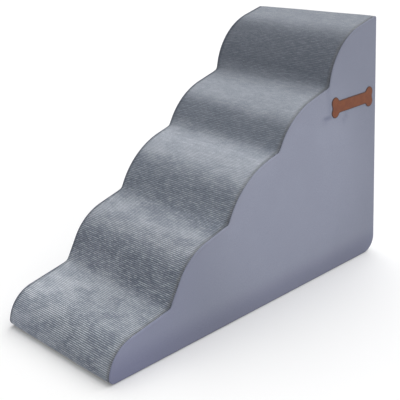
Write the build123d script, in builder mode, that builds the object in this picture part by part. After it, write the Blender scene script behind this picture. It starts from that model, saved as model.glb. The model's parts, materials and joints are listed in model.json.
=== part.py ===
from build123d import *

import math
import os

os.makedirs("parts", exist_ok=True)

# Foam stairs with five rounded steps for a small pet, in millimetres.
# +Y runs up the stairs, +Z is up, and the origin is the middle of the footprint on the floor.

# Whole stairs; the length and height reach the sharp top back corner, before it is rounded
stair_width = 400.0
stair_length = 923.0
stair_height = 643.0
front_edge_radius = 16.0
top_edge_radius = 5.0
back_foot_radius = 43.0
notch_radius = 8.0
edge_roll = 4.0
overrun = 5.0

# Side outline: the foot of each riser and the sharp corner of each nose, as shares of the length
# from the front edge and of the height from the floor, bottom step first. The first riser leans,
# so its sharp foot lies a little in front, and the front edge curve brings it back.
riser_foot_length_shares = (-0.006, 0.196, 0.402, 0.594, 0.796)
riser_foot_height_shares = (0.0, 0.174, 0.389, 0.587, 0.769)
nose_length_shares = (0.018, 0.265, 0.458, 0.647, 0.824)
nose_height_shares = (0.124, 0.337, 0.535, 0.711, 0.940)
# How much of each riser its nose curve takes up
nose_curve_shares = (0.66, 0.47, 0.84, 0.77, 0.87)

# Cover
cover_thickness = 3.0
cover_clearance = 0.2
seam_groove = 0.7

# Foam
comfort_thickness = 25.0

# Grip dots under the base
dot_height = 0.8
dot_radius = 7.0
dot_sides = 8
dot_pitch = 58.0
dot_margin = 25.0

# Bone-shaped label on the right side
label_length = 165.0
label_thickness = 1.5
label_lobe_radius = 14.0
label_lobe_spacing = 24.5
label_waist_height = 31.0
label_inner_radius = 7.0
label_cleft_radius = 14.0
label_from_back = 100.0
label_from_top = 203.0

# Zip down the middle of the back: opening between the folded cover edges
zip_opening_width = 12.0
zip_opening_bottom = 70.0
zip_opening_from_top = 36.0
fold_radius = 0.7

# Zip tapes, in a shallow pocket behind the folded edges
tape_pocket_depth = 2.0
tape_thickness = 0.6
tape_width = 15.0
tape_tail = 14.0
tape_half_gap = 0.8

# Zip teeth, one comb on each tape
coil_pitch = 5.0
coil_tooth = 3.0
coil_height = 2.0
coil_cord_width = 1.0
coil_half_width = 3.4
coil_end_room = 11.0

# Zip stops
stop_height = 2.2
top_stop_length = 3.0
top_stop_width = 2.6
bottom_stop_length = 5.0
stop_room = 0.4

# Zip slider
slider_length = 12.0
slider_width = 9.6
slider_corner = 2.4
slider_plate = 1.0
slider_running_gap = 0.3
slider_back_gap = 0.2
slider_neck_width = 1.0
slider_neck_length = 3.0
slider_flange = 0.8
slider_flange_length = 8.0
bridge_width = 1.6
bridge_window = 5.4
bridge_leg = 1.0
bridge_bar = 0.9
bridge_clear_height = 1.9

# Pull tab that hangs from the slider's bridge
pull_pin_radius = 0.6
pull_pin_gap = 0.3
pull_eye_width = 3.8
pull_eye_length = 6.4
pull_rail = 1.2
pull_thickness = 1.2
pull_length = 27.0
pull_end_radius = 2.4

# Places worked out from the sizes
front_y = -stair_length / 2
back_y = stair_length / 2
base_z = dot_height
side_seam_x = stair_width / 2 - cover_thickness
base_seam_y = back_y - back_foot_radius
back_wall_y = back_y - cover_thickness
tape_face_y = back_wall_y + tape_pocket_depth
zip_opening_top = stair_height - zip_opening_from_top
label_mid_height = stair_height - label_from_top


def outline_corners():
    """The sharp corners of the side outline as (y, z), from the front foot round to the back foot."""
    corners = []
    for foot_y, foot_z, nose_y, nose_z in zip(
        riser_foot_length_shares,
        riser_foot_height_shares,
        nose_length_shares,
        nose_height_shares,
    ):
        corners.append((front_y + foot_y * stair_length, max(foot_z * stair_height, base_z)))
        corners.append((front_y + nose_y * stair_length, nose_z * stair_height))
    corners.append((back_y, stair_height))
    corners.append((back_y, base_z))
    return corners


def run_of(start, end):
    """The length and the unit direction of a straight run of the outline."""
    along = Vector(*end) - Vector(*start)
    return along.length, along.normalized()


def outline_radii(corners):
    """The radius of the curve at each sharp corner."""
    radii = []
    for number, share in enumerate(nose_curve_shares):
        foot, nose, next_foot = corners[2 * number : 2 * number + 3]
        riser, up = run_of(foot, nose)
        turn = math.radians(up.get_angle(run_of(nose, next_foot)[1]))
        radii.append(notch_radius if number else front_edge_radius)
        radii.append(share * riser / math.tan(turn / 2))
    return radii + [top_edge_radius, back_foot_radius]


def moved_in(before, corner, after, inset_before, inset_after):
    """The corner after its two runs move into the stairs by their own insets."""
    along_before = run_of(before, corner)[1]
    along_after = run_of(corner, after)[1]
    turn = along_before.X * along_after.Y - along_before.Y * along_after.X
    slide_before = (inset_after - inset_before * along_before.dot(along_after)) / turn
    return (
        corner[0] + inset_before * along_before.Y + slide_before * along_before.X,
        corner[1] - inset_before * along_before.X + slide_before * along_before.Y,
    )


def stair_outline(step_inset, block_inset):
    """Side outline with the steps moved in by one inset, and the back and base by the other."""
    corners = outline_corners()
    insets = [step_inset] * (len(corners) - 2) + [block_inset] * 2
    places, rounds = [], []
    for number, radius in enumerate(outline_radii(corners)):
        hollow = 0 < number < len(corners) - 2 and number % 2 == 0
        after = (number + 1) % len(corners)
        places.append(
            moved_in(
                corners[number - 1],
                corners[number],
                corners[after],
                insets[number - 1],
                insets[number],
            )
        )
        corner_inset = block_inset if number == len(corners) - 1 else step_inset
        rounds.append(radius + corner_inset if hollow else max(radius - corner_inset, 0))
    with BuildSketch(Plane.YZ) as outline:
        with BuildLine():
            FilletPolyline(*places, radius=rounds, close=True)
        make_face()
    return outline.sketch


foam_inset = cover_thickness + cover_clearance
core_inset = foam_inset + comfort_thickness
skin_outline = stair_outline(0, 0)
cavity_outline = stair_outline(cover_thickness, cover_thickness)
foam_outline = stair_outline(foam_inset, foam_inset)
core_outline = stair_outline(core_inset, foam_inset)
foam_half_width = side_seam_x - cover_clearance

# The base panel reaches from the front edge to where the back foot starts to curve
with BuildSketch(Plane.YZ) as base_region:
    with BuildLine():
        Polyline(
            (front_y - overrun, base_z - overrun),
            (base_seam_y, base_z - overrun),
            (base_seam_y, base_z + cover_thickness),
            (front_y - overrun, base_z + cover_thickness),
            close=True,
        )
    make_face()

# The back panel wraps round the back foot and meets the tread panel at the top edge
with BuildSketch(Plane.YZ) as back_region:
    with BuildLine():
        Polyline(
            (base_seam_y, base_z - overrun),
            (back_y + overrun, base_z - overrun),
            (back_y + overrun, stair_height + overrun),
            (back_wall_y, stair_height + overrun),
            (back_wall_y, base_z + back_foot_radius),
            (base_seam_y, base_z + back_foot_radius),
            close=True,
        )
    make_face()

# Outer form of the filled cover, with both side outlines rolled over
with BuildPart() as filled_cover:
    extrude(skin_outline, amount=stair_width / 2, both=True)
    by_side = faces().sort_by(Axis.X)
    fillet(by_side[0].edges() + by_side[-1].edges(), radius=edge_roll)

# The cover between the two side panels, hollow for the foam
with BuildPart() as cover_band:
    add(filled_cover.part)
    split(bisect_by=Plane.YZ.offset(side_seam_x), keep=Keep.BOTTOM)
    split(bisect_by=Plane.YZ.offset(-side_seam_x), keep=Keep.TOP)
    extrude(cavity_outline, amount=side_seam_x, both=True, mode=Mode.SUBTRACT)

# Ribbed plush over the front edge and all five steps
with BuildPart() as tread_cover:
    add(cover_band.part)
    extrude(base_region.sketch, amount=stair_width, both=True, mode=Mode.SUBTRACT)
    extrude(back_region.sketch, amount=stair_width, both=True, mode=Mode.SUBTRACT)
tread_cover.part.label = "tread_cover"
export_step(tread_cover.part, "parts/tread_cover.step")

# Smooth side panels, with a shallow groove where each is sewn to the band
with BuildPart() as side_cover_right:
    add(filled_cover.part)
    split(bisect_by=Plane.YZ.offset(side_seam_x), keep=Keep.TOP)
    chamfer(faces().sort_by(Axis.X)[0].edges(), length=seam_groove)
side_cover_right.part.label = "side_cover_right"
export_step(side_cover_right.part, "parts/side_cover_right.step")

with BuildPart() as side_cover_left:
    mirror(side_cover_right.part, about=Plane.YZ)
side_cover_left.part.label = "side_cover_left"
export_step(side_cover_left.part, "parts/side_cover_left.step")

# Non-slip base panel
with BuildPart() as base_cover:
    add(cover_band.part)
    extrude(base_region.sketch, amount=stair_width, both=True, mode=Mode.INTERSECT)
base_cover.part.label = "base_cover"
export_step(base_cover.part, "parts/base_cover.step")

# Back panel with the opening for the zip and the pocket for its tapes
zip_opening_length = zip_opening_top - zip_opening_bottom
zip_mid_z = (zip_opening_top + zip_opening_bottom) / 2
pocket_length = zip_opening_length + 2 * tape_tail
with BuildPart() as back_panel:
    add(cover_band.part)
    extrude(back_region.sketch, amount=stair_width, both=True, mode=Mode.INTERSECT)
    with Locations((0, back_y, zip_mid_z)):
        Box(zip_opening_width, 2 * (cover_thickness + overrun), zip_opening_length, mode=Mode.SUBTRACT)
    with Locations((0, back_wall_y, zip_mid_z)):
        Box(2 * (tape_half_gap + tape_width), 2 * tape_pocket_depth, pocket_length, mode=Mode.SUBTRACT)
    opening_edges = edges().filter_by(
        lambda edge: abs(edge.center().Y - back_y) < fold_radius
        and abs(edge.center().X) <= zip_opening_width / 2 + fold_radius
        and zip_opening_bottom - fold_radius < edge.center().Z < zip_opening_top + fold_radius
    )
    fillet(opening_edges, radius=fold_radius)

with BuildPart() as back_cover_right:
    add(back_panel.part)
    split(bisect_by=Plane.YZ, keep=Keep.TOP)
back_cover_right.part.label = "back_cover_right"
export_step(back_cover_right.part, "parts/back_cover_right.step")

with BuildPart() as back_cover_left:
    mirror(back_cover_right.part, about=Plane.YZ)
back_cover_left.part.label = "back_cover_left"
export_step(back_cover_left.part, "parts/back_cover_left.step")

# Firm support foam, cut to the steps
with BuildPart() as foam_core:
    extrude(core_outline, amount=foam_half_width, both=True)
foam_core.part.label = "foam_core"
export_step(foam_core.part, "parts/foam_core.step")

# Softer foam glued over the steps of the core
with BuildPart() as comfort_layer:
    extrude(foam_outline, amount=foam_half_width, both=True)
    extrude(core_outline, amount=foam_half_width, both=True, mode=Mode.SUBTRACT)
comfort_layer.part.label = "comfort_layer"
export_step(comfort_layer.part, "parts/comfort_layer.step")

# Rubber dots in a square grid that has a dot at the origin
dots_to_side = int((stair_width / 2 - dot_margin) // dot_pitch)
dots_to_front = int((stair_length / 2 - dot_margin) // dot_pitch)
dots_to_back = int((stair_length / 2 - back_foot_radius - dot_margin) // dot_pitch)
dot_grid_y = (dots_to_back - dots_to_front) * dot_pitch / 2
dot_columns = 2 * dots_to_side + 1
dot_rows = dots_to_front + dots_to_back + 1
with BuildPart() as grip_dots:
    with BuildSketch(Plane.XY):
        with Locations((0, dot_grid_y)):
            with GridLocations(dot_pitch, dot_pitch, dot_columns, dot_rows):
                RegularPolygon(dot_radius, dot_sides)
    extrude(amount=dot_height)
grip_dots.part.label = "grip_dots"
export_step(grip_dots.part, "parts/grip_dots.step")

# Leather-look label: a straight waist with two round lobes at each end
label_mid_y = back_y - label_from_back
with BuildPart() as bone_label:
    with BuildSketch(Plane.YZ.offset(stair_width / 2)):
        with Locations((label_mid_y, label_mid_height)):
            Rectangle(label_length - 2 * label_lobe_radius, label_waist_height)
            with GridLocations(label_length - 2 * label_lobe_radius, label_lobe_spacing, 2, 2):
                Circle(label_lobe_radius)
        waist_ends = vertices().filter_by(
            lambda corner: abs(corner.X - label_mid_y) < label_length / 2 - label_lobe_radius
        )
        fillet(waist_ends, radius=label_inner_radius)
        clefts = vertices().filter_by(
            lambda corner: abs(corner.Y - label_mid_height) < label_inner_radius
            and abs(corner.X - label_mid_y) > label_length / 2 - label_lobe_radius
        )
        fillet(clefts, radius=label_cleft_radius)
    extrude(amount=label_thickness)
bone_label.part.label = "bone_label"
export_step(bone_label.part, "parts/bone_label.step")

# Woven zip tapes, one on each side of the opening
with BuildPart() as zip_tape_right:
    with Locations((tape_half_gap, tape_face_y, zip_mid_z)):
        Box(tape_width, tape_thickness, pocket_length, align=(Align.MIN, Align.MAX, Align.CENTER))
zip_tape_right.part.label = "zip_tape_right"
export_step(zip_tape_right.part, "parts/zip_tape_right.step")

with BuildPart() as zip_tape_left:
    mirror(zip_tape_right.part, about=Plane.YZ)
zip_tape_left.part.label = "zip_tape_left"
export_step(zip_tape_left.part, "parts/zip_tape_left.step")

# Zip teeth: a cord along the tape with teeth that reach towards the middle
coil_length = zip_opening_length - 2 * coil_end_room
tooth_count = int((coil_length - coil_pitch) // coil_pitch)
cord_x = coil_half_width - coil_cord_width / 2
tooth_reach = coil_half_width - coil_cord_width / 2 - tape_half_gap


def zip_comb(side, phase):
    """The comb of teeth on one tape, with its teeth moved along the zip by the phase."""
    with BuildPart() as comb:
        with BuildSketch(Plane.XZ.offset(-tape_face_y)):
            with Locations((side * cord_x, zip_mid_z)):
                Rectangle(coil_cord_width, coil_length)
            with Locations((side * (tape_half_gap + tooth_reach / 2), zip_mid_z + phase)):
                with GridLocations(coil_pitch, coil_pitch, 1, tooth_count):
                    Rectangle(tooth_reach, coil_tooth)
        extrude(amount=-coil_height)
    return comb.part


zip_coil_right = zip_comb(1, coil_pitch / 4)
zip_coil_right.label = "zip_coil_right"
export_step(zip_coil_right, "parts/zip_coil_right.step")

zip_coil_left = zip_comb(-1, -coil_pitch / 4)
zip_coil_left.label = "zip_coil_left"
export_step(zip_coil_left, "parts/zip_coil_left.step")

# Stops that keep the slider on the teeth
coil_top_z = zip_mid_z + coil_length / 2
coil_bottom_z = zip_mid_z - coil_length / 2
stop_x = coil_half_width - top_stop_width / 2
with BuildPart() as zip_top_stops:
    with Locations(
        (stop_x, tape_face_y, coil_top_z + stop_room),
        (-stop_x, tape_face_y, coil_top_z + stop_room),
    ):
        Box(top_stop_width, stop_height, top_stop_length, align=(Align.CENTER, Align.MIN, Align.MIN))
zip_top_stops.part.label = "zip_top_stops"
export_step(zip_top_stops.part, "parts/zip_top_stops.step")

with BuildPart() as zip_bottom_stop:
    with Locations((0, tape_face_y, coil_bottom_z - stop_room)):
        Box(2 * coil_half_width, stop_height, bottom_stop_length, align=(Align.CENTER, Align.MIN, Align.MAX))
zip_bottom_stop.part.label = "zip_bottom_stop"
export_step(zip_bottom_stop.part, "parts/zip_bottom_stop.step")

# Slider, parked at the closed end: two plates joined by a neck that runs between the teeth
slider_z = coil_top_z - slider_length / 2
slider_back_y = tape_face_y - tape_thickness - slider_back_gap
slider_front_y = tape_face_y + coil_height + slider_running_gap
slider_face_y = slider_front_y + slider_plate
neck_z = slider_z + (slider_length - slider_neck_length) / 2
flange_x = (slider_width - slider_flange) / 2
bridge_height = bridge_clear_height + bridge_bar
with BuildPart() as zip_slider:
    with BuildSketch(Plane.XZ.offset(-slider_back_y), Plane.XZ.offset(-slider_face_y)):
        with Locations((0, slider_z)):
            Rectangle(slider_width, slider_length)
        fillet(vertices(), radius=slider_corner)
    extrude(amount=slider_plate)
    with Locations((0, slider_back_y, neck_z)):
        Box(
            slider_neck_width,
            slider_front_y - slider_back_y,
            slider_neck_length,
            align=(Align.CENTER, Align.MIN, Align.CENTER),
        )
    with Locations((flange_x, slider_front_y, slider_z), (-flange_x, slider_front_y, slider_z)):
        Box(
            slider_flange,
            coil_height,
            slider_flange_length,
            align=(Align.CENTER, Align.MAX, Align.CENTER),
        )
    with BuildSketch(Plane.YZ):
        with Locations((slider_face_y, slider_z)):
            Rectangle(bridge_height, bridge_window + 2 * bridge_leg, align=(Align.MIN, Align.CENTER))
            Rectangle(bridge_clear_height, bridge_window, align=(Align.MIN, Align.CENTER), mode=Mode.SUBTRACT)
    extrude(amount=bridge_width / 2, both=True)
zip_slider.part.label = "zip_slider"
export_step(zip_slider.part, "parts/zip_slider.step")

# Pull tab: a pin through the bridge, two rails beside it and a flat tongue below
pull_y = slider_face_y + pull_pin_gap + pull_pin_radius
pull_z = slider_z - bridge_window / 2 + pull_pin_gap + pull_pin_radius
pull_width = pull_eye_width + 2 * pull_rail
with BuildPart() as zip_pull:
    with BuildSketch(Plane.XZ.offset(-pull_y)):
        with Locations((0, pull_z)):
            Rectangle(pull_width, pull_length, align=(Align.CENTER, Align.MAX))
        fillet(vertices().group_by(Axis.Y)[0], radius=pull_end_radius)
        with Locations((0, pull_z)):
            Rectangle(pull_eye_width, pull_eye_length, align=(Align.CENTER, Align.MAX), mode=Mode.SUBTRACT)
    extrude(amount=pull_thickness / 2, both=True)
    with BuildSketch(Plane.YZ):
        with Locations((pull_y, pull_z)):
            Circle(pull_pin_radius)
    extrude(amount=pull_width / 2, both=True)
zip_pull.part.label = "zip_pull"
export_step(zip_pull.part, "parts/zip_pull.step")

slider_travel = slider_z - slider_length / 2 - (coil_bottom_z - stop_room) - stop_room
print("slider travel", round(slider_travel, 2))
print("pull hinge", round(pull_y, 3), round(pull_z, 3))
print("zip slider z", round(slider_z, 3))
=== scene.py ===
import json
import math

import bmesh
import bpy
import numpy as np
from mathutils import Matrix, Vector, bvhtree, noise

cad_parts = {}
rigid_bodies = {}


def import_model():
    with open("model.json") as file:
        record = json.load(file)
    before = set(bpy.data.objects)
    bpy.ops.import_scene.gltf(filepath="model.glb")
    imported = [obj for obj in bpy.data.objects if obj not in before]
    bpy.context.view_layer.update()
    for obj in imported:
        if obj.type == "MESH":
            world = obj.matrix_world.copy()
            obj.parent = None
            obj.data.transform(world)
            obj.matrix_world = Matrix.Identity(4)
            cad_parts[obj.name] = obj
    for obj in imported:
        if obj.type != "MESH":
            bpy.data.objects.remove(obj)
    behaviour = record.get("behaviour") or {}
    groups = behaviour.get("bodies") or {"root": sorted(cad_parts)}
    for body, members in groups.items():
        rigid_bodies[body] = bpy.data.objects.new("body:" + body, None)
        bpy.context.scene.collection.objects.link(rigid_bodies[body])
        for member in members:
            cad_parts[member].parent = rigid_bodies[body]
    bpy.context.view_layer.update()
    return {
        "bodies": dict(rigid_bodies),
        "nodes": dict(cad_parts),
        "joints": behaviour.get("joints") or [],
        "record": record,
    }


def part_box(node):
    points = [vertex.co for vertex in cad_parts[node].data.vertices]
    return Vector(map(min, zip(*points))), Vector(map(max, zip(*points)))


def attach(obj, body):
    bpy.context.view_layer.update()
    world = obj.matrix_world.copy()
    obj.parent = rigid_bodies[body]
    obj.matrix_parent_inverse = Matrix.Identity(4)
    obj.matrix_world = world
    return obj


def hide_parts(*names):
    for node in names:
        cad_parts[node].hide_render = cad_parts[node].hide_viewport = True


# Looks of the foam pet stairs: ribbed plush over the five steps, velvet sides and back, a leather
# label and a zip down the back. +Y runs up the stairs and +Z is up.
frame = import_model()
nodes = frame["nodes"]
mm = 0.001

# Side outline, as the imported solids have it: riser feet and sharp nose corners as shares of the
# length from the front edge and of the height from the floor, bottom step first
stair_length = 923 * mm
stair_height = 643 * mm
riser_foot_length_shares = (-0.006, 0.196, 0.402, 0.594, 0.796)
riser_foot_height_shares = (0.0, 0.174, 0.389, 0.587, 0.769)
nose_length_shares = (0.018, 0.265, 0.458, 0.647, 0.824)
nose_height_shares = (0.124, 0.337, 0.535, 0.711, 0.940)
nose_curve_shares = (0.66, 0.47, 0.84, 0.77, 0.87)
front_edge_radius = 16 * mm
notch_radius = 8 * mm
top_edge_radius = 5 * mm
back_foot_radius = 43 * mm
edge_roll = 4 * mm
cover_depth = 3 * mm
arc_steps = 24
half_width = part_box("side_cover_right")[1].x
base_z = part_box("base_cover")[0].z
back_y = stair_length / 2

# Tolerances
weld = 0.001 * mm
cut_tolerance = 0.01 * mm
same_place = 0.02 * mm
face_tolerance = 0.05 * mm

# Cloth
plush_thickness = 2.0 * mm
velvet_thickness = 1.2 * mm
back_velvet_thickness = 0.9 * mm
tape_thickness = 0.45 * mm
band_column_step = 13 * mm
back_row_step = 4 * mm
base_row_step = 12 * mm

# Ribs of the plush; one rib's shape is given by places along its pitch and its height there, in shares
rib_pitch = 4.5 * mm
rib_height = 1.3 * mm
rib_stations = (0.0, 0.2, 0.5, 0.8)
rib_rises = (0.0, 0.75, 1.0, 0.75)
rib_unevenness = 0.25
rib_wave = 30 * mm
rib_fade = 5 * mm
plush_swell = 0.8 * mm
plush_wave = 90 * mm

# The ribs grow fainter between these heights, down to that share of their relief, as in the photo
brushed_from_height = 150 * mm
brushed_to_height = 420 * mm
brushed_rib_share = 0.3

# How far tight cloth lifts off the notches between a tread and the next riser
bridge_reach = 24 * mm
bridge_step = 2 * mm
bridge_hold = 0.4 * mm
bridge_from_seam = 60 * mm
bridge_at_seam = 0.3

# Where the tone turns on each step, in mm up the cloth from the riser's foot: painted shade on the
# upright pile until the first, painted light on the flat pile from the second to the third, and painted
# shade again from the fourth, where the next riser shades the tread
pile_and_shade_turns = (
    (-8, 100, 182, 240),
    (68, 165, 178, 246),
    (63, 130, 187, 251),
    (56, 112, 150, 268),
    (114, 190, 400, 500),
)
# The edges of the painted light and shade lean across the stairs and waver
pile_shade_skew = 0.06
pile_shade_waver = 7 * mm
pile_shade_wave = 60 * mm

# Layers of the noise: any numbers that differ
pile_shade_layer = 4.5
rib_layer = 3.5
plush_layer = 1.5
ripple_layer_step = 7

# Seam between the band and each side panel, as (distance in from the side, rise over the outline)
band_hem = ((4.4, 0.0), (4.05, -0.25), (3.75, -0.9), (3.55, -3.0))
side_hem = (
    (3.3, -3.0), (3.25, -1.6), (3.1, -0.6), (2.8, -0.25), (2.3, -0.38), (1.7, -0.73),
    (1.1, -1.24), (0.6, -1.89), (0.2, -2.75), (0.0, -4.0),
)
# Depths into the seam over which the cloth gets painted shade
band_tuck_reach = (3.7 * mm, 4.1 * mm)
side_tuck_reach = (2.9 * mm, 3.2 * mm)
seam_pull = 0.6 * mm
seam_pull_reach = 14 * mm
cross_seam_depth = 2.4 * mm
cross_seam_reach = 2.2 * mm

# Cloth simulation: the foam presses the tight panels out between their seams
foam_pressure = 4.0
settling_frames = 20
band_crown = 2.2 * mm
panel_crown = 1.8 * mm
band_sample = 10 * mm

# Side panels
side_ring_step = 4 * mm
side_cell = 9 * mm
swell = 0.8 * mm
swell_wave = 170 * mm
ripple = 0.5 * mm
ripple_wave = 62 * mm
swell_fade = 55 * mm
pucker = 0.9 * mm
pucker_reach = 34 * mm
pucker_folds = 5
pucker_from_rim = 16 * mm

# Folds in the right side panel, each a groove with a ridge beside it, as (start, end, height, reach)
# in mm, start and end as y and z: one from the top notch towards the label, then two under the label.
# The ridge stands off by that many reaches, and the groove has that share of the ridge's height
folds = (
    ((267, 487), (269, 433), 1.6, 4),
    ((277, 423), (250, 416), 2.6, 5),
    ((338, 416), (325, 399), 1.2, 6),
)
steepest_fold = 2.6
ridge_offset = 1.6
groove_share = 0.7
deepest_dent = 1.1 * mm

# Label
label_burn_reach = 2.0 * mm
label_rim_radius = 0.6 * mm
label_insets = (0.8 * mm, 1.2 * mm, 2.0 * mm, 3.0 * mm)

# Pieces that keep their CAD form get round edges where it turns by more than sharp_angle degrees
foam_edge_radius = 3.5 * mm
top_stop_edge_radius = 0.4 * mm
bottom_stop_edge_radius = 0.5 * mm
slider_edge_radius = 0.25 * mm
pull_edge_radius = 0.3 * mm
edge_segments = 2
sharp_angle = 40
flat_angle = 1

# Dots under the base
dot_radius = 7 * mm
dot_pitch = 58 * mm
dot_foot_share = 0.8
dot_sides = 20

# Zip
zip_opening_bottom = 70 * mm
zip_opening_top = 607 * mm
zip_fold = 6 * mm
zip_end_reach = 9 * mm
topstitch_from_fold = 6.5 * mm
stitch_length = 3.2 * mm
stitch_pitch = 3.9 * mm
thread_radius = 0.28 * mm
tooth_pitch = 1.9 * mm
tooth_radius = 0.52 * mm
tooth_stretch = 1.25
closed_gap = 0.2 * mm
topstitch_depth = 0.45 * mm
topstitch_reach = 1.2 * mm
thread_sink = 0.35 * mm
tape_rows = 150
tape_columns = 13
tape_ridges = 6
tape_ridge = 0.06 * mm
tape_sink = 0.1 * mm

# Folded edge of the back panel beside the zip, as (distance from the fold, rise over the cloth) in mm
zip_fold_shape = ((0.0, -0.95), (0.15, -0.55), (0.6, -0.15), (1.4, 0.0))

# Columns of the back panel, close together at the fold and at the side seam, in mm from each
columns_by_fold = (3, 5, 6.5, 8, 11)
columns_by_seam = (4, 7)
middle_columns = (18 * mm, 182 * mm, 15)
back_swell_from_seam = 40 * mm
back_swell_from_fold = 30 * mm

# Rows of the base panel by its cross seams, in mm
rows_by_base_seam = (0.4, 1.0, 2.2)

# Plush tones of painted light and shade, matched to the photo: painted light on the flat treads and
# painted shade on the upright risers, paler to the left on the low steps from right to left, then
# higher up as (height where a tone begins, height where it is full, colour)
shaded_upright_low_tones = ("BCC3CD", "D7DDE9")
shaded_upright_tones = ((0.0, 160 * mm, "A7AEB8"), (180 * mm, 620 * mm, "828790"))
lit_flat_low_tones = ("CBD1D8", "F6FAFF")
lit_flat_tones = ((100 * mm, 220 * mm, "D6DAE1"), (340 * mm, 620 * mm, "B2B6BD"))
tone_right = 60 * mm
tone_left = -170 * mm
# Painted rib crest highlights and valley shade: full below the first height, faint above the second,
# down to that share
rib_shades_full = 100 * mm
rib_shades_faint = 500 * mm
faint_share = 0.2

# Velvet tones, matched to the photo: painted light palest round this place, painted shade deeper out to
# the edges, towards the front and near the floor
painted_light_place = (200 * mm, 120 * mm, 270 * mm)
painted_light_reach = 140 * mm
painted_shade_reach = 380 * mm
front_shade_from = -450 * mm
front_shade_to = -100 * mm
low_shade_from = 20 * mm
low_shade_to = 80 * mm


def sharp_corners():
    """Sharp corners of the side outline as (y, z), from the front foot round to the back foot."""
    corners = []
    for foot_y, foot_z, nose_y, nose_z in zip(
        riser_foot_length_shares,
        riser_foot_height_shares,
        nose_length_shares,
        nose_height_shares,
    ):
        foot_z = max(foot_z * stair_height, base_z)
        corners.append(Vector((foot_y * stair_length - back_y, foot_z)))
        corners.append(Vector((nose_y * stair_length - back_y, nose_z * stair_height)))
    return corners + [Vector((back_y, stair_height)), Vector((back_y, base_z))]


def corner_radii(corners):
    """The radius of the curve at each sharp corner."""
    radii = []
    for number, share in enumerate(nose_curve_shares):
        foot, nose, next_foot = corners[2 * number : 2 * number + 3]
        turn = (nose - foot).angle(next_foot - nose)
        radii.append(notch_radius if number else front_edge_radius)
        radii.append(share * (nose - foot).length / math.tan(turn / 2))
    return radii + [top_edge_radius, back_foot_radius]


def side_outline():
    """Places (y, z), outward directions and distances along the closed side outline."""
    corners = sharp_corners()
    places, outward = [], []
    for number, radius in enumerate(corner_radii(corners)):
        corner, after = corners[number], corners[(number + 1) % len(corners)]
        run_in = (corner - corners[number - 1]).normalized()
        turn = run_in.angle_signed(after - corner)
        start = corner - run_in * radius * math.tan(abs(turn) / 2)
        bulge = math.copysign(radius, turn)
        centre = start - Vector((-run_in.y, run_in.x)) * bulge
        for step in range(arc_steps + 1):
            run = Matrix.Rotation(-turn * step / arc_steps, 2) @ run_in
            facing = Vector((-run.y, run.x))
            outward.append(facing)
            places.append(centre + facing * bulge)
    places, outward = np.array(places + places[:1]), np.array(outward + outward[:1])
    steps = np.linalg.norm(np.diff(places, axis=0), axis=1)
    return places, outward, np.concatenate([[0], np.cumsum(steps)])


outline_places, outline_outward, outline_distances = side_outline()
outline_length = outline_distances[-1]
corner_ends = outline_distances[arc_steps :: arc_steps + 1]
front_seam = front_edge_radius * math.acos(1 - cover_depth / front_edge_radius)
top_seam = corner_ends[-2] - top_edge_radius * math.acos(1 - cover_depth / top_edge_radius)
base_seam = corner_ends[-1]


def on_outline(distance, rise):
    """The (y, z) places that far along the outline and that far out from it."""
    along = np.mod(distance, outline_length)
    return [
        np.interp(along, outline_distances, outline_places[:, axis])
        + rise * np.interp(along, outline_distances, outline_outward[:, axis])
        for axis in range(2)
    ]


def bridged_line():
    """Along the outline, how far tight cloth lifts off the notches and how far its face turns."""
    along = np.arange(0, outline_length, bridge_step)
    plain = np.column_stack(on_outline(along, 0))
    reach = math.ceil(3 * bridge_reach / bridge_step)
    weights = np.exp(-((np.arange(-reach, reach + 1) * bridge_step / bridge_reach) ** 2) / 2)
    around = np.pad(plain, ((reach, reach), (0, 0)), mode="wrap")
    soft = np.column_stack(
        [np.convolve(axis, weights / weights.sum(), mode="valid") for axis in around.T]
    )
    outward = np.column_stack(
        [np.interp(along, outline_distances, axis) for axis in outline_outward.T]
    )
    lift = np.sum((soft - plain) * outward, axis=1)
    offset = (soft - plain) * np.clip(lift / bridge_hold, 0, 1)[:, None]
    run = np.gradient(plain + offset, axis=0)
    facing = np.column_stack([-run[:, 1], run[:, 0]]) / np.linalg.norm(run, axis=1)[:, None]
    return along, offset, (facing - outward) * (lift > 0)[:, None]


bridge_distances, bridge_offset, bridge_turn = bridged_line()


def flat_and_lit_share(x, distance):
    """Painted light where the pile lies flat on the treads; painted shade on the risers, lower noses
    and under each riser.
    """
    wavering = pile_shade_skew * x + pile_shade_waver * wander(x, distance, pile_shade_wave, pile_shade_layer)
    share = np.zeros(len(distance))
    for foot, turns in zip(corner_ends[::2], pile_and_shade_turns):
        up, flat, until, back = np.array(turns) * mm
        past = distance + wavering - foot
        share += eased((past - up) / (flat - up)) * eased((back - past) / (back - until))
    return np.minimum(share, 1)


def on_cloth(distance, rise, share):
    """Like on_outline, but lifted off the notches by that share."""
    along = np.mod(distance, outline_length)
    places, facings = [], []
    for axis in range(2):
        plain = np.interp(along, outline_distances, outline_places[:, axis])
        places.append(plain + share * np.interp(along, bridge_distances, bridge_offset[:, axis]))
        outward = np.interp(along, outline_distances, outline_outward[:, axis])
        facings.append(outward + share * np.interp(along, bridge_distances, bridge_turn[:, axis]))
    return [place + rise * facing / np.hypot(*facings) for place, facing in zip(places, facings)]


def eased(share):
    """A smooth step from 0 to 1."""
    share = np.clip(share, 0, 1)
    return share * share * (3 - 2 * share)


def wander(across, along, wave, layer):
    """Smooth noise between about -1 and 1 with that wavelength."""
    return np.array(
        [noise.noise(Vector((a / wave, b / wave, layer))) for a, b in zip(across, along)]
    )


def mesh_places(mesh):
    """The vertex places of a mesh as an array."""
    places = np.empty(len(mesh.vertices) * 3)
    mesh.vertices.foreach_get("co", places)
    return places.reshape(-1, 3)


def shown(name, form, body="stairs", smooth=True):
    """Makes an object of a finished bmesh and lets it ride on a body."""
    mesh = bpy.data.meshes.new(name)
    form.to_mesh(mesh)
    form.free()
    piece = bpy.data.objects.new(name, mesh)
    bpy.context.scene.collection.objects.link(piece)
    mesh.polygons.foreach_set("use_smooth", [smooth] * len(mesh.polygons))
    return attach(piece, body)


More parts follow.
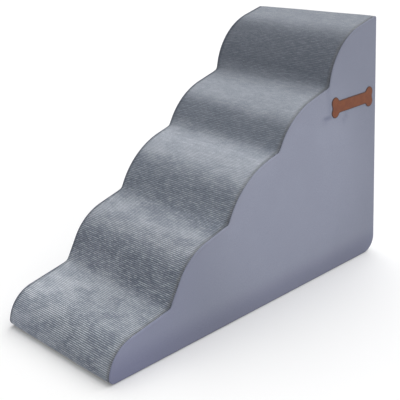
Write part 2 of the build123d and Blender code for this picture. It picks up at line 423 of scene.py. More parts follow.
def bent_grid(form, rows, columns, place):
    """Adds a grid whose rows and columns have these values, put where place(row, column) says."""
    grid = bmesh.ops.create_grid(
        form, x_segments=len(columns) - 1, y_segments=len(rows) - 1, size=1
    )["verts"]
    flat = (np.array([vert.co for vert in grid]) + 1) / 2
    column = np.rint(flat[:, 0] * (len(columns) - 1)).astype(int)
    row = np.rint(flat[:, 1] * (len(rows) - 1)).astype(int)
    for vert, found in zip(grid, place(np.asarray(rows)[row], np.asarray(columns)[column])):
        vert.co = found
    return grid


def band_rise(x):
    """How far the band's cloth drops near the side seams, where it rolls over and tucks in."""
    inward = half_width - np.abs(x)
    past = np.clip(edge_roll - inward, 0, edge_roll)
    roll = np.sqrt(edge_roll**2 - past**2) - edge_roll
    hem_in, hem_rise = np.array(band_hem[::-1]).T * mm
    tuck = np.interp(inward, hem_in, hem_rise)
    return roll + tuck - seam_pull * np.exp(-(inward - band_hem[-1][0] * mm) / seam_pull_reach)


def cross_seam_rise(distance, start, stop):
    """How far the cloth tucks in at the two seams that run across the stairs."""
    from_end = np.minimum(distance - start, stop - distance)
    return -cross_seam_depth * (1 - eased(from_end / cross_seam_reach)) ** 2


def band_columns(spacing):
    """Places across the band, closer together where it rolls into the side seams."""
    hem = [half_width - inward * mm for inward, _ in band_hem]
    edge = half_width - edge_roll
    inner = np.linspace(0, edge, max(2, round(edge / spacing)) + 1)[1:]
    right = list(inner) + hem
    return np.array([-x for x in reversed(right)] + [0] + right)


def paint(piece, name, values):
    """Keeps one number a vertex on the piece, for its finish to read."""
    kept = piece.data.attributes.new(name, "FLOAT", "POINT")
    kept.data.foreach_set("value", np.asarray(values, np.float32))


def band_tuck(piece):
    """Marks how deep each place of a band panel lies in the side seam, for its painted seam shade."""
    inward = half_width - np.abs(mesh_places(piece.data)[:, 0])
    paint(piece, "tuck", np.interp(inward, band_tuck_reach, (1, 0)))


def settled(mesh, held, crown):
    """How far each vertex of a panel moves when it is simulated as cloth, held fast at its seams and
    pressed from behind. The largest move is capped at the crown and the others in the same ratio."""
    cloth = bpy.data.objects.new("settling_cloth", mesh.copy())
    bpy.context.scene.collection.objects.link(cloth)
    pins = cloth.vertex_groups.new(name="held")
    pins.add(np.flatnonzero(held).tolist(), 1.0, "REPLACE")
    solver = cloth.modifiers.new("settling", "CLOTH")
    solver.point_cache.frame_end = settling_frames
    solver.settings.vertex_group_mass = pins.name
    solver.settings.use_pressure = True
    solver.settings.uniform_pressure_force = foam_pressure
    solver.settings.effector_weights.gravity = 0
    for frame in range(1, settling_frames + 1):
        bpy.context.scene.frame_set(frame)
    after = cloth.evaluated_get(bpy.context.evaluated_depsgraph_get()).data
    moves = mesh_places(after) - mesh_places(mesh)
    used = cloth.data
    bpy.data.objects.remove(cloth)
    bpy.data.meshes.remove(used)
    bpy.context.scene.frame_set(1)
    return moves * min(1, crown / np.linalg.norm(moves, axis=1).max())


def moved(piece, moves):
    """Moves each vertex of a piece."""
    piece.data.vertices.foreach_set("co", (mesh_places(piece.data) + moves).ravel())
    piece.data.update()


def thicken(piece, thickness):
    """Gives the cloth its thickness, to the inside."""
    solid = piece.modifiers.new("cloth_thickness", "SOLIDIFY")
    solid.thickness = thickness
    solid.offset = -1


def band_moves(rows, columns, place):
    """How far the band's cloth settles, found on a plain panel with fewer rows."""
    few = np.linspace(0, rows[-1], round((top_seam - front_seam) / band_sample))
    form = bmesh.new()
    bent_grid(form, few, columns, place)
    plain = bpy.data.meshes.new("plain_band")
    form.to_mesh(plain)
    form.free()
    row, x = np.meshgrid(few, columns, indexing="ij")
    held = (np.abs(x) > half_width - 1.5 * edge_roll) | (row == few[0]) | (row == few[-1])
    moves = settled(plain, held.ravel(), band_crown).reshape(len(few), len(columns), 3)
    bpy.data.meshes.remove(plain)
    after = np.searchsorted(few, rows, side="right").clip(1, len(few) - 1)
    share = ((rows - few[after - 1]) / (few[after] - few[after - 1]))[:, None, None]
    return (moves[after - 1] * (1 - share) + moves[after] * share).reshape(-1, 3)


def tread_plush():
    """The ribbed panel over the front edge, the risers and the treads, with its ribs side to side."""
    ribs = round((top_seam - front_seam) / rib_pitch)
    pitch = (top_seam - front_seam) / ribs
    stations = np.array(rib_stations)
    rows = np.append((np.arange(ribs)[:, None] + stations).ravel(), ribs)
    crests = np.append(np.tile(rib_rises, ribs), 0)
    rise_of_row = dict(zip(rows, crests))
    columns = band_columns(band_column_step)

    def smooth(row, x, rise=0):
        distance = front_seam + row * pitch
        inward = half_width - np.abs(x)
        rise = rise + band_rise(x) + cross_seam_rise(distance, front_seam, top_seam)
        share = bridge_at_seam + (1 - bridge_at_seam) * eased(inward / bridge_from_seam)
        return np.column_stack([x, *on_cloth(distance, rise, share)])

    def place(row, x):
        distance = front_seam + row * pitch
        crest = np.array([rise_of_row[value] for value in row])
        inward = half_width - np.abs(x)
        flattening = eased((inward - band_hem[-1][0] * mm) / rib_fade)
        height = on_outline(distance, 0)[1]
        brushed = eased((height - brushed_from_height) / (brushed_to_height - brushed_from_height))
        relief = rib_height * (1 - (1 - brushed_rib_share) * brushed)
        uneven = 1 + rib_unevenness * wander(x, distance, rib_wave, rib_layer)
        rise = (crest - 0.5) * relief * flattening * uneven
        rise += plush_swell * wander(x, distance, plush_wave, plush_layer) * flattening
        return smooth(row, x, rise)

    form = bmesh.new()
    bent_grid(form, rows, columns, place)
    piece = shown("tread_plush", form)
    moved(piece, band_moves(rows, columns, smooth))
    paint(piece, "rib_crest", np.repeat(crests, len(columns)))
    distances, across = np.meshgrid(front_seam + rows * pitch, columns, indexing="ij")
    # Painted light on the flat treads and painted shade on the risers, for the plush finish
    paint(piece, "flat_and_lit", flat_and_lit_share(across.ravel(), distances.ravel()))
    band_tuck(piece)
    thicken(piece, plush_thickness)
    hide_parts("tread_cover")
    return piece


def notch_places():
    """The four notches between a tread and the next riser, as (y, z)."""
    return [tuple(corner) for corner in sharp_corners()[2:10:2]]


def side_swell(y, z, layer):
    """How far a side panel stands out from flat: broad soft waves, and puckers from the notches."""
    gap = np.min(
        np.hypot(
            y[:, None] - outline_places[None, :, 0], z[:, None] - outline_places[None, :, 1]
        ),
        axis=1,
    )
    fade = eased(gap / swell_fade)
    out = swell * wander(y, z, swell_wave, layer)
    out += ripple * wander(y, z, ripple_wave, layer + ripple_layer_step)
    out *= fade
    for number, (notch_y, notch_z) in enumerate(notch_places()):
        reach = np.hypot(y - notch_y, z - notch_z)
        around = np.arctan2(z - notch_z, y - notch_y)
        fold = np.cos(pucker_folds * around + layer + number)
        out += pucker * fold * np.exp(-reach / pucker_reach) * eased(gap / pucker_from_rim)
    return out


def fold_rise(y, z):
    """How far the folds beside the label push the right side panel out, and how much shade to paint in
    its grooves.
    """
    rise, crease_shade = np.zeros(len(y)), np.zeros(len(y))
    for start, end, high, reach in folds:
        start, end = Vector(start) * mm, Vector(end) * mm
        run = (end - start).normalized()
        along = (y - start.x) * run.x + (z - start.y) * run.y
        across = ((z - start.y) * run.x - (y - start.x) * run.y) / (reach * mm)
        past = np.maximum(np.maximum(-along, along - (end - start).length), 0) / (reach * mm)
        groove = np.exp(-(across**2) - past**2)
        ridge = np.exp(-((across - ridge_offset) ** 2) - past**2)
        rise += high * mm * (ridge - groove_share * groove)
        crease_shade += high / steepest_fold * groove
    return rise, np.minimum(crease_shade, 1)


def side_panel_form():
    """A side panel before it settles: a flat face whose rim rolls over and tucks into the seam."""
    form = bmesh.new()
    rows = np.linspace(0, outline_length, round(outline_length / side_ring_step) + 1)

    def place(row, inward):
        rise = np.interp(inward, *np.array(side_hem[::-1]).T * mm)
        y, z = on_outline(row, rise)
        return np.column_stack([half_width - inward, y, z])

    columns = [inward * mm for inward, _ in side_hem]
    bent_grid(form, rows, columns, place)
    bmesh.ops.remove_doubles(form, verts=form.verts, dist=same_place)
    inner = [
        edge
        for edge in form.edges
        if edge.is_boundary and min(vert.co.x for vert in edge.verts) > half_width - face_tolerance
    ]
    bmesh.ops.edgeloop_fill(form, edges=inner)
    whole = max(form.faces, key=lambda face: len(face.verts))
    flat = [whole, *whole.edges, *whole.verts]
    low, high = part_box("side_cover_right")
    for axis in (1, 2):
        across = [float(axis == 0), float(axis == 1), float(axis == 2)]
        for cut in np.arange(low[axis] + side_cell / 2, high[axis], side_cell):
            spot = [half_width, cut, cut]
            flat = bmesh.ops.bisect_plane(
                form, geom=flat, dist=cut_tolerance, plane_co=spot, plane_no=across
            )["geom"]
    bmesh.ops.recalc_face_normals(form, faces=form.faces)
    return form


def on_face(places):
    """Which places of a side panel lie on its flat face, inside its rolled rim."""
    return np.abs(places[:, 0]) > half_width - face_tolerance


def side_velvets():
    """Both side panels, which settle alike as cloth."""
    form = side_panel_form()
    plain = bpy.data.meshes.new("plain_side")
    form.to_mesh(plain)
    form.free()
    settling = settled(plain, ~on_face(mesh_places(plain)), panel_crown)
    pieces = [
        side_velvet("side_velvet_right", "side_cover_right", 1, 2.3, plain, settling),
        side_velvet("side_velvet_left", "side_cover_left", -1, 5.1, plain, settling),
    ]
    bpy.data.meshes.remove(plain)
    return pieces


def side_velvet(name, node, side, layer, plain, settling):
    """A velvet side panel: its settled form with soft waves, puckers that start at the notches and,
    on the right one, the folds beside the label."""
    form = bmesh.new()
    form.from_mesh(plain)
    if side < 0:
        bmesh.ops.scale(form, vec=(-1, 1, 1), verts=form.verts)
        bmesh.ops.reverse_faces(form, faces=form.faces)
    y, z = np.array([[vert.co.y, vert.co.z] for vert in form.verts]).T
    folding, crease_shade = fold_rise(y, z)
    swelling = np.maximum(side_swell(y, z, layer) + (side > 0) * folding, -deepest_dent)
    piece = shown(name, form)
    moves = settling * (side, 1, 1)
    moves[:, 0] += side * swelling * on_face(mesh_places(piece.data))
    inward = half_width - np.abs(mesh_places(piece.data)[:, 0])
    # How deep each place lies in the side seam, for its painted seam shade
    tuck = np.interp(inward, side_tuck_reach, (0, 1))
    moved(piece, moves)
    paint(piece, "tuck", tuck)
    # Painted shade in the fold grooves, on the right panel only
    paint(piece, "crease_shade", crease_shade * (side > 0))
    thicken(piece, velvet_thickness)
    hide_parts(node)
    y, z = outline_places.T
    return piece


def back_velvet(name, node, side, layer):
    """Half of the back panel, folded in beside the zip and rolled into the side seam."""
    rows = np.linspace(top_seam, base_seam, round((base_seam - top_seam) / back_row_step) + 1)
    from_fold = [x * mm for x, _ in zip_fold_shape] + [x * mm for x in columns_by_fold]
    from_seam = [(inward - band_hem[-1][0]) * mm for inward, _ in band_hem]
    from_seam += [x * mm for x in columns_by_seam]
    middle = np.linspace(*middle_columns)
    span = half_width - band_hem[-1][0] * mm
    columns = np.array(from_fold + list(middle) + sorted(span - x for x in from_seam))

    def place(row, across):
        y, z = on_outline(row, np.zeros(len(row)))
        wall = row < corner_ends[-1] - back_foot_radius
        opened = eased((z - zip_opening_bottom) / zip_end_reach)
        opened *= eased((zip_opening_top - z) / zip_end_reach) * wall
        fold_x = closed_gap + (zip_fold - closed_gap) * opened
        x = fold_x + across * (1 - fold_x / span)
        edge = np.interp(across, *np.array(zip_fold_shape).T * mm)
        channel = -topstitch_depth * np.exp(-((across - topstitch_from_fold) / topstitch_reach) ** 2)
        soft = eased((half_width - x - band_tuck_reach[0]) / back_swell_from_seam)
        soft *= eased(across / back_swell_from_fold)
        rise = edge + channel * opened + band_rise(x)
        rise += swell * wander(x, row, swell_wave, layer) * soft
        rise += cross_seam_rise(row, top_seam, base_seam)
        y, z = on_outline(row, rise)
        return np.column_stack([side * x, y, z])

    form = bmesh.new()
    bent_grid(form, rows, columns, place)
    if side < 0:
        bmesh.ops.reverse_faces(form, faces=form.faces)
    piece = shown(name, form)
    band_tuck(piece)
    thicken(piece, back_velvet_thickness)
    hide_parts(node)
    return piece


def base_cloth():
    """The dark panel under the stairs."""
    start, stop = base_seam, outline_length + front_seam
    rows = np.linspace(start, stop, round((stop - start) / base_row_step) + 1)
    near = np.array(rows_by_base_seam) * mm
    rows = np.sort(np.concatenate([rows, start + near, stop - near]))

    def place(row, x):
        rise = band_rise(x) + cross_seam_rise(row, start, stop)
        y, z = on_outline(row, rise)
        return np.column_stack([x, y, z])

    form = bmesh.new()
    bent_grid(form, rows, band_columns(band_column_step), place)
    piece = shown("base_cloth_panel", form)
    band_tuck(piece)
    thicken(piece, back_velvet_thickness)
    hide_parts("base_cover")
    return piece


def merged_copy(node):
    """A CAD node's form with its loose triangles joined and its flat faces whole."""
    form = bmesh.new()
    form.from_mesh(nodes[node].data)
    bmesh.ops.remove_doubles(form, verts=form.verts, dist=weld)
    bmesh.ops.dissolve_limit(
        form, angle_limit=math.radians(flat_angle), verts=form.verts, edges=form.edges
    )
    return form


def soften(form, radius):
    """Rounds every edge that turns sharply."""
    sharp = [
        edge
        for edge in form.edges
        if edge.is_manifold and edge.calc_face_angle(0) > math.radians(sharp_angle)
    ]
    bmesh.ops.bevel(
        form,
        geom=sharp,
        offset=radius,
        offset_type="OFFSET",
        affect="EDGES",
        segments=edge_segments,
        profile=0.5,
        material=-1,
        clamp_overlap=True,
    )


def softened_piece(name, node, radius, body="stairs"):
    """A finished piece that has a CAD node's form with rounded edges."""
    form = merged_copy(node)
    soften(form, radius)
    bmesh.ops.triangulate(form, faces=[face for face in form.faces if len(face.verts) > 4])
    piece = shown(name, form, body, smooth=False)
    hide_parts(node)
    return piece


def bead(form, place, half_sizes):
    """Adds one small rounded bead."""
    bmesh.ops.create_uvsphere(
        form,
        u_segments=8,
        v_segments=5,
        radius=1,
        matrix=Matrix.Translation(place) @ Matrix.Diagonal((*half_sizes, 1)),
    )


def repeated_up(piece, count, pitch):
    """Repeats a piece upwards."""
    row = piece.modifiers.new("repeated", "ARRAY")
    row.count = count
    row.use_relative_offset = False
    row.use_constant_offset = True
    row.constant_offset_displace = (0, 0, pitch)


def zip_teeth(name, node, phase):
    """Nylon zip teeth: short rounded bars, one a turn of the coil."""
    low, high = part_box(node)
    middle = (low + high) / 2
    form = bmesh.new()
    half_sizes = ((high.x - low.x) / 2, (high.y - low.y) / 2, tooth_radius * tooth_stretch)
    bead(form, (middle.x, middle.y, low.z + tooth_radius + phase * tooth_pitch), half_sizes)
    piece = shown(name, form)
    repeated_up(piece, int((high.z - low.z - 2 * tooth_radius) / tooth_pitch), tooth_pitch)
    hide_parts(node)
    return piece


def zip_tape(name, node):
    """Woven tape with fine ridges along its length."""
    low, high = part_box(node)
    side = 1 if low.x > 0 else -1
    rows = np.linspace(low.z, high.z, tape_rows)
    columns = np.linspace(0, 1, tape_columns)

    def place(row, share):
        x = side * (abs(low.x if side > 0 else high.x) + share * (high.x - low.x))
        ridge = tape_ridge * np.cos(share * tape_ridges * 2 * math.pi)
        y = high.y - tape_sink + ridge
        return np.column_stack([x, y, row])

    form = bmesh.new()
    bent_grid(form, rows, columns, place)
    if side > 0:
        bmesh.ops.reverse_faces(form, faces=form.faces)
    piece = shown(name, form)
    thicken(piece, tape_thickness)
    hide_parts(node)
    return piece


def topstitching():
    """Two rows of thread beside the zip, one on each folded edge."""
    form = bmesh.new()
    for side in (-1, 1):
        x = side * (zip_fold + topstitch_from_fold)
        first = (x, back_y - thread_sink, zip_opening_bottom + stitch_pitch / 2)
        bead(form, first, (thread_radius, thread_radius, stitch_length / 2))
    piece = shown("zip_topstitching", form)
    repeated_up(piece, int((zip_opening_top - zip_opening_bottom) / stitch_pitch), stitch_pitch)
    return piece


def grip_dots():
    """Low rubber studs under the base, narrower at the floor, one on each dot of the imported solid."""
    form = bmesh.new()
    low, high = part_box("grip_dots")
    across = np.arange(low.x + dot_radius, high.x, dot_pitch)
    along = np.arange(low.y + dot_radius, high.y, dot_pitch)
    for x in across:
        for y in along:
            bmesh.ops.create_cone(
                form,
                cap_ends=True,
                segments=dot_sides,
                radius1=dot_radius * dot_foot_share,
                radius2=dot_radius,
                depth=high.z - low.z,
                matrix=Matrix.Translation((x, y, (low.z + high.z) / 2)),
            )
    piece = shown("grip_dot_studs", form, smooth=False)
    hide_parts("grip_dots")
    return piece


def rim_distance(places, rim):
    """How far each place lies from a closed line of points, both as (y, z)."""
    nearest = np.full(len(places), np.inf)
    for start, end in zip(rim, np.roll(rim, -1, axis=0)):
        run = end - start
        share = np.clip((places - start) @ run / max(run @ run, 1e-12), 0, 1)
        off = places - start - share[:, None] * run
        nearest = np.minimum(nearest, np.hypot(off[:, 0], off[:, 1]))
    return nearest


def laid_on(piece, panel):
    """Lets a piece that lies on the right side panel follow its swelling."""
    form = bmesh.new()
    form.from_mesh(panel.data)
    cloth = bvhtree.BVHTree.FromBMesh(form)
    form.free()
    moves = np.zeros((len(piece.data.vertices), 3))
    for move, (_, y, z) in zip(moves, mesh_places(piece.data)):
        found = cloth.ray_cast((2 * half_width, y, z), (-1, 0, 0))[0]
        move[0] = found.x - half_width
    moved(piece, moves)


def bone_label(panel):
    """The leather label with a rounded rim, bare on its face."""
    form = merged_copy("bone_label")
    low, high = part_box("bone_label")
    area = max(face.calc_area() for face in form.faces)
    rim = [
        edge
        for edge in form.edges
        if min(vert.co.x for vert in edge.verts) > high.x - cut_tolerance
        and edge.calc_face_angle(0) > math.radians(sharp_angle)
    ]
    bmesh.ops.bevel(
        form,
        geom=rim,
        offset=label_rim_radius,
        offset_type="OFFSET",
        affect="EDGES",
        segments=3,
        profile=0.5,
        material=-1,
        clamp_overlap=True,
    )
    face = max(form.faces, key=lambda item: item.calc_area() * item.normal.x)
    cut_edge = np.array([[vert.co.y, vert.co.z] for vert in face.verts])
    for inset in label_insets:
        bmesh.ops.inset_region(form, faces=[face], thickness=inset, use_even_offset=True)
    piece = shown("bone_label_patch", form)
    from_edge = rim_distance(mesh_places(piece.data)[:, 1:], cut_edge)
    paint(piece, "burn", 1 - eased(from_edge / label_burn_reach))
    laid_on(piece, panel)
    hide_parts("bone_label")
    return piece


def foam(name, node):
    """A foam piece, cut to shape, with its edges worn a little round."""
    piece = softened_piece(name, node, foam_edge_radius)
    return piece


foam_block = foam("foam_block", "foam_core")
comfort_foam = foam("comfort_foam", "comfort_layer")
tread = tread_plush()
sides = side_velvets()
backs = [
    back_velvet("back_velvet_right", "back_cover_right", 1, 8.2),
    back_velvet("back_velvet_left", "back_cover_left", -1, 9.7),
]
base = base_cloth()
dots = grip_dots()
label = bone_label(sides[0])
tapes = [
    zip_tape("zip_tape_strip_right", "zip_tape_right"),
    zip_tape("zip_tape_strip_left", "zip_tape_left"),
]
teeth = [
    zip_teeth("zip_teeth_right", "zip_coil_right", 0.0),
    zip_teeth("zip_teeth_left", "zip_coil_left", 0.5),
]
stitches = topstitching()
metal = [
    softened_piece("zip_top_stop_pair", "zip_top_stops", top_stop_edge_radius),
    softened_piece("zip_bottom_stop_bar", "zip_bottom_stop", bottom_stop_edge_radius),
    softened_piece("zip_slider_body", "zip_slider", slider_edge_radius, body="slider"),
    softened_piece("zip_pull_tab", "zip_pull", pull_edge_radius, body="pull"),
]


def linear(code):
    """A colour given as an sRGB hex code, in linear light."""
    parts = [int(code[start : start + 2], 16) / 255 for start in (0, 2, 4)]
    return (*[p / 12.92 if p <= 0.04045 else ((p + 0.055) / 1.055) ** 2.4 for p in parts], 1)


def add(tree, kind, settings=(), inputs=()):
    """Adds one shader node; each input is a plain value or another node's output."""
    made = tree.nodes.new(kind)
    for name, value in dict(settings).items():
        setattr(made, name, value)
    for name, value in dict(inputs).items():
        if isinstance(value, bpy.types.NodeSocket):
            tree.links.new(value, made.inputs[name])
        else:
            made.inputs[name].default_value = value
    return made


def new_finish(name):
    """A new material with its node tree, its shader and the place on the piece."""
    finish = bpy.data.materials.new(name)
    finish.use_nodes = True
    tree = finish.node_tree
    shader = tree.nodes["Principled BSDF"]
    place = add(tree, "ShaderNodeTexCoord").outputs["Object"]
    return finish, tree, shader, place


def speckle(tree, place, size, detail=2.0, stretch=(1, 1, 1)):
    """Noise with patches of about that size in metres, stretched along the axes."""
    moved = add(
        tree, "ShaderNodeMapping", inputs={"Vector": place, "Scale": [1 / s for s in stretch]}
    )
    return add(
        tree,
        "ShaderNodeTexNoise",
        inputs={"Vector": moved.outputs[0], "Scale": 1 / size, "Detail": detail},
    ).outputs[0]


def ranged(tree, value, low, high, to_low=0.0, to_high=1.0):
    """A value mapped smoothly from one range to another."""
    return add(
        tree,
        "ShaderNodeMapRange",
        {"interpolation_type": "SMOOTHSTEP"},
        {0: value, 1: low, 2: high, 3: to_low, 4: to_high},
    ).outputs[0]


def mixed(tree, share, low, high, blend="MIX"):
    """Two colours mixed by a share."""
    return add(
        tree,
        "ShaderNodeMix",
        {"data_type": "RGBA", "blend_type": blend},
        {0: share, 6: low, 7: high},
    ).outputs[2]


def product(tree, first, second):
    """Two values multiplied."""
    return add(tree, "ShaderNodeMath", {"operation": "MULTIPLY"}, {0: first, 1: second}).outputs[0]


def shaded(tree, colour, share, low, high="FFFFFF"):
    """A colour multiplied by a shade that goes from the low one to the high one with the share."""
    shade = mixed(tree, share, linear(low), linear(high))
    return mixed(tree, 1.0, colour, shade, "MULTIPLY")


def painted(tree, name):
    """A number that the piece keeps for its finish."""
    return add(tree, "ShaderNodeAttribute", {"attribute_name": name}).outputs["Fac"]


def toned(tree, height, colour, tones):
    """A colour that turns into the next tones with height."""
    for start, full, code in tones:
        colour = mixed(tree, ranged(tree, height, start, full), colour, linear(code))
    return colour


def woven(tree, place, thread):
    """A plain weave, as a check with one square a thread."""
    moved = add(tree, "ShaderNodeMapping", inputs={"Vector": place, "Scale": [1 / thread] * 3})
    return add(
        tree, "ShaderNodeTexChecker", inputs={"Vector": moved.outputs[0], "Scale": 1.0}
    ).outputs[1]


def bumped(tree, shader, height, depth):
    """Raises the surface by the height, up to that depth in metres."""
    bump = add(tree, "ShaderNodeBump", inputs={"Height": height, "Distance": depth, "Strength": 1.0})
    tree.links.new(bump.outputs[0], shader.inputs["Normal"])


def seam_shaded(tree, shader, colour):
    """Paints shade on the cloth where it goes down into a seam, and gives the colour to the shader."""
    tuck = painted(tree, "tuck")
    # Painted shade in the seam
    tree.links.new(mixed(tree, tuck, colour, linear("484B56")), shader.inputs["Base Color"])


def plush_finish():
    """Short-pile polyester plush, knitted in ribs, its pile flat on the treads and upright on the
    risers, with painted light on the treads, painted shade on the risers, and painted crest highlights
    and valley shade that are clearest on the low steps."""
    finish, tree, shader, place = new_finish("ribbed_plush")
    crest = painted(tree, "rib_crest")
    parts = add(tree, "ShaderNodeSeparateXYZ", inputs={0: place}).outputs
    left, height = ranged(tree, parts[0], tone_right, tone_left), parts[2]
    clear = ranged(tree, height, rib_shades_faint, rib_shades_full, faint_share, 1.0)
    # Painted shade on the upright risers and painted light on the flat treads, paler to the left low
    # down and changing with height
    upright = mixed(tree, left, *[linear(code) for code in shaded_upright_low_tones])
    upright = toned(tree, height, upright, shaded_upright_tones)
    flat = mixed(tree, left, *[linear(code) for code in lit_flat_low_tones])
    flat = toned(tree, height, flat, lit_flat_tones)
    # Painted light where the pile lies flat, painted shade where it stands up
    tone = mixed(tree, painted(tree, "flat_and_lit"), upright, flat)
    patches = ranged(tree, speckle(tree, place, 32 * mm, 4.0, (1.7, 1, 1)), 0.36, 0.64)
    patches = mixed(tree, patches, linear("D8DBE0"), linear("FFFFFF"))
    patches = mixed(tree, clear, linear("F1F2F4"), patches)
    tone = mixed(tree, 1.0, tone, patches, "MULTIPLY")
    streaks = ranged(tree, speckle(tree, place, 6 * mm, 3.0, (4, 1, 1)), 0.4, 0.75)
    tone = shaded(tree, tone, streaks, "EBEDEF")
    # Painted highlights on the rib crests, in broken dashes
    highlight_dashes = ranged(tree, speckle(tree, place, 2.6 * mm, 1.0, (5, 1, 1)), 0.42, 0.68, 0.0, 0.6)
    light = product(tree, product(tree, ranged(tree, crest, 0.5, 1.0), highlight_dashes), clear)
    tone = mixed(tree, light, tone, linear("E9EEF4"))
    # Painted shade in the rib valleys
    valley_shade = product(tree, ranged(tree, crest, 0.95, 0.1, 0.0, 0.8), clear)
    tone = mixed(tree, valley_shade, tone, linear("39414E"))
    fibres = ranged(tree, speckle(tree, place, 1.4 * mm, 1.0), 0.3, 0.75)
    seam_shaded(tree, shader, shaded(tree, tone, fibres, "DCDEE2"))
    shader.inputs["Roughness"].default_value = 0.95
    shader.inputs["Sheen Weight"].default_value = 0.2
    shader.inputs["Sheen Roughness"].default_value = 0.4
    shader.inputs["Specular IOR Level"].default_value = 0.15
    bumped(tree, shader, fibres, 0.35 * mm)
    return finish


def velvet_finish():
    """Smooth short-pile velvet: an even soft face with broad brushed shades; painted light round the
    middle, painted shade deeper towards the front, the floor and the outer edges, and in its creases."""
    finish, tree, shader, place = new_finish("smooth_velvet")
    brushed = ranged(tree, speckle(tree, place, 140 * mm, 3.0), 0.3, 0.7)
    fine = ranged(tree, speckle(tree, place, 1.1 * mm, 2.0), 0.25, 0.75)
    parts = add(tree, "ShaderNodeSeparateXYZ", inputs={0: place}).outputs
    # Painted shade towards the front and near the floor
    from_front = ranged(tree, parts[1], front_shade_from, front_shade_to)
    from_floor = ranged(tree, parts[2], low_shade_from, low_shade_to)
    away = add(
        tree, "ShaderNodeVectorMath", {"operation": "DISTANCE"}, {0: place, 1: painted_light_place}
    ).outputs[1]
    nap_and_shade = mixed(tree, brushed, linear("989CAD"), linear("9DA1B2"))
    # Painted light palest round one place, painted shade out to the edges
    nap_and_shade = mixed(tree, ranged(tree, away, painted_shade_reach, painted_light_reach), linear("8C90A0"), nap_and_shade)
    nap_and_shade = mixed(tree, from_front, linear("8E92A8"), nap_and_shade)
    nap_and_shade = shaded(tree, nap_and_shade, from_floor, "E9E8EE")
    # Painted shade in the creases
    nap_and_shade = shaded(tree, nap_and_shade, painted(tree, "crease_shade"), "FFFFFF", "D6D8E0")
    seam_shaded(tree, shader, shaded(tree, nap_and_shade, fine, "EDEDEF"))
    shader.inputs["Roughness"].default_value = 0.9
    shader.inputs["Sheen Weight"].default_value = 0.2
    shader.inputs["Sheen Roughness"].default_value = 0.35
    shader.inputs["Specular IOR Level"].default_value = 0.2
    bumped(tree, shader, fine, 0.15 * mm)
    return finish


def base_finish():
    """Woven non-slip backing cloth: a matt near-black weave with a little pale lint."""
    finish, tree, shader, place = new_finish("base_cloth")
    weave = woven(tree, place, 1.2 * mm)
    lint = ranged(tree, speckle(tree, place, 30 * mm), 0.3, 0.7)
    colour = mixed(tree, weave, linear("1E1F22"), linear("2C2D31"))
    colour = mixed(tree, lint, colour, linear("34353A"))
    tree.links.new(colour, shader.inputs["Base Color"])
    shader.inputs["Roughness"].default_value = 0.9
    bumped(tree, shader, weave, 0.3 * mm)
    return finish


def rubber_finish():
    """Moulded soft rubber: black, matt, faintly mottled."""
    finish, tree, shader, place = new_finish("grip_rubber")
    haze = ranged(tree, speckle(tree, place, 4 * mm), 0.3, 0.7)
    tree.links.new(mixed(tree, haze, linear("17181A"), linear("232427")), shader.inputs["Base Color"])
    shader.inputs["Roughness"].default_value = 0.65
    bumped(tree, shader, haze, 0.05 * mm)
    return finish


def leather_finish():
    """Leather-look polyurethane sheet, cut hot, so its rim is browned and dark."""
    finish, tree, shader, place = new_finish("label_leather")
    grain = speckle(tree, place, 0.9 * mm, 3.0)
    mottle = ranged(tree, speckle(tree, place, 14 * mm, 3.0), 0.3, 0.7)
    colour = mixed(tree, mottle, linear("6E371A"), linear("7A411F"))
    colour = mixed(tree, painted(tree, "burn"), colour, linear("402419"))
    tree.links.new(colour, shader.inputs["Base Color"])
    shader.inputs["Roughness"].default_value = 0.5
    shader.inputs["Specular IOR Level"].default_value = 0.36
    bumped(tree, shader, grain, 0.12 * mm)
    return finish


def foam_finish(name, pale, deep, cell):
    """Cut polyurethane foam: open cells that read as fine pits."""
    finish, tree, shader, place = new_finish(name)
    pits = ranged(tree, speckle(tree, place, cell, 3.0), 0.35, 0.6)
    tree.links.new(mixed(tree, pits, linear(deep), linear(pale)), shader.inputs["Base Color"])
    shader.inputs["Roughness"].default_value = 1.0
    bumped(tree, shader, pits, 0.6 * mm)
    return finish


def tape_finish():
    """Woven polyester tape: a fine plain weave of dyed yarn, a little glossier than the velvet."""
    finish, tree, shader, place = new_finish("zip_tape")
    weave = woven(tree, place, 0.8 * mm)
    colour = mixed(tree, weave, linear("70748A"), linear("80849A"))
    tree.links.new(colour, shader.inputs["Base Color"])
    shader.inputs["Roughness"].default_value = 0.85
    bumped(tree, shader, weave, 0.15 * mm)
    return finish


def nylon_finish():
    """Dyed nylon monofilament: smooth and opaque here, with a soft gloss."""
    finish, tree, shader, place = new_finish("zip_coil")
    haze = ranged(tree, speckle(tree, place, 6 * mm), 0.3, 0.7)
    tree.links.new(mixed(tree, haze, linear("73778C"), linear("7D8196")), shader.inputs["Base Color"])
    shader.inputs["Roughness"].default_value = 0.38
    bumped(tree, shader, haze, 0.02 * mm)
    return finish


def lacquer_finish():
    """Zinc casting under baked lacquer: smooth with a faint orange peel."""
    finish, tree, shader, place = new_finish("zip_metal")
    peel = speckle(tree, place, 0.8 * mm)
    wear = ranged(tree, speckle(tree, place, 3 * mm, 3.0), 0.55, 0.75)
    tree.links.new(mixed(tree, wear, linear("777B8E"), linear("8C909F")), shader.inputs["Base Color"])
    shader.inputs["Roughness"].default_value = 0.32
    shader.inputs["Coat Weight"].default_value = 0.4
    bumped(tree, shader, peel, 0.03 * mm)
    return finish


def dress(pieces, finish):
    """Gives each piece its finish."""
    for piece in pieces:
        piece.data.materials.clear()
        piece.data.materials.append(finish)


dress([tread], plush_finish())
dress(sides + backs, velvet_finish())
dress([base], base_finish())
dress([dots], rubber_finish())
dress([label], leather_finish())
dress([foam_block], foam_finish("support_foam", "ECEAE4", "D5D2CA", 1.6 * mm))
dress([comfort_foam], foam_finish("comfort_foam", "F4F3EF", "DFDDD6", 1.1 * mm))
dress(tapes + [stitches], tape_finish())
dress(teeth, nylon_finish())
dress(metal, lacquer_finish())


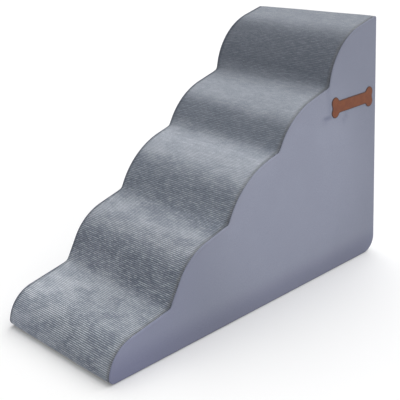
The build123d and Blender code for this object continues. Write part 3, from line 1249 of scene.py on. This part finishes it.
def make_floor():
    """A plain pale floor; the camera sees it as white, with the soft shadow kept."""
    form = bmesh.new()
    bmesh.ops.create_grid(form, x_segments=1, y_segments=1, size=30)
    mesh = bpy.data.meshes.new("floor")
    form.to_mesh(mesh)
    form.free()
    floor = bpy.data.objects.new("floor", mesh)
    bpy.context.scene.collection.objects.link(floor)
    finish, tree, shader, _ = new_finish("pale_floor")
    shader.inputs["Base Color"].default_value = linear("E9E9E9")
    shader.inputs["Roughness"].default_value = 1.0
    shader.inputs["Specular IOR Level"].default_value = 0.0
    shader.inputs["Emission Color"].default_value = (1, 1, 1, 1)
    tree.links.new(seen_ray(tree, 0.12), shader.inputs["Emission Strength"])
    floor.data.materials.append(finish)


def seen_ray(tree, strength, rest=0.0):
    """That strength for camera, glossy and transmission rays, and the rest for all others."""
    path = add(tree, "ShaderNodeLightPath").outputs
    seen = path["Is Camera Ray"]
    for other in ("Is Glossy Ray", "Is Transmission Ray"):
        either = add(tree, "ShaderNodeMath", {"operation": "MAXIMUM"}, {0: seen, 1: path[other]})
        seen = either.outputs[0]
    return ranged(tree, seen, 0.0, 1.0, rest, strength)


def make_world():
    """White all round, at full strength only where it is seen."""
    world = bpy.data.worlds.new("white_room")
    world.use_nodes = True
    tree = world.node_tree
    background = tree.nodes["Background"]
    background.inputs["Color"].default_value = (1, 1, 1, 1)
    tree.links.new(seen_ray(tree, 1.0, 0.35), background.inputs["Strength"])
    bpy.context.scene.world = world


def studio_light(name, comes_from, spread, power):
    """A very wide, even studio light from one direction."""
    lamp = bpy.data.lights.new(name, "SUN")
    lamp.angle = math.radians(spread)
    lamp.energy = power
    holder = bpy.data.objects.new(name, lamp)
    bpy.context.scene.collection.objects.link(holder)
    holder.rotation_euler = Vector(comes_from).to_track_quat("Z", "Y").to_euler()


def make_camera():
    """The camera where the photograph's corners and edges put it."""
    lens = bpy.data.cameras.new("photo_camera")
    lens.sensor_width = 36
    lens.lens = 76.77
    holder = bpy.data.objects.new("photo_camera", lens)
    bpy.context.scene.collection.objects.link(holder)
    holder.matrix_world = (
        Matrix.Translation((1.4958, -1.3337, 0.9964))
        @ Matrix.Rotation(math.radians(48.19), 4, "Z")
        @ Matrix.Rotation(math.radians(90 - 20.77), 4, "X")
        @ Matrix.Rotation(math.radians(-3.63), 4, "Z")
    )
    bpy.context.scene.camera = holder


make_floor()
make_world()
studio_light("top_light", (-0.2, 0.7, 1.0), 75, 2.5)
studio_light("right_light", (1.0, -0.1, 0.5), 90, 1.0)
make_camera()
bpy.context.scene.view_settings.view_transform = "Standard"
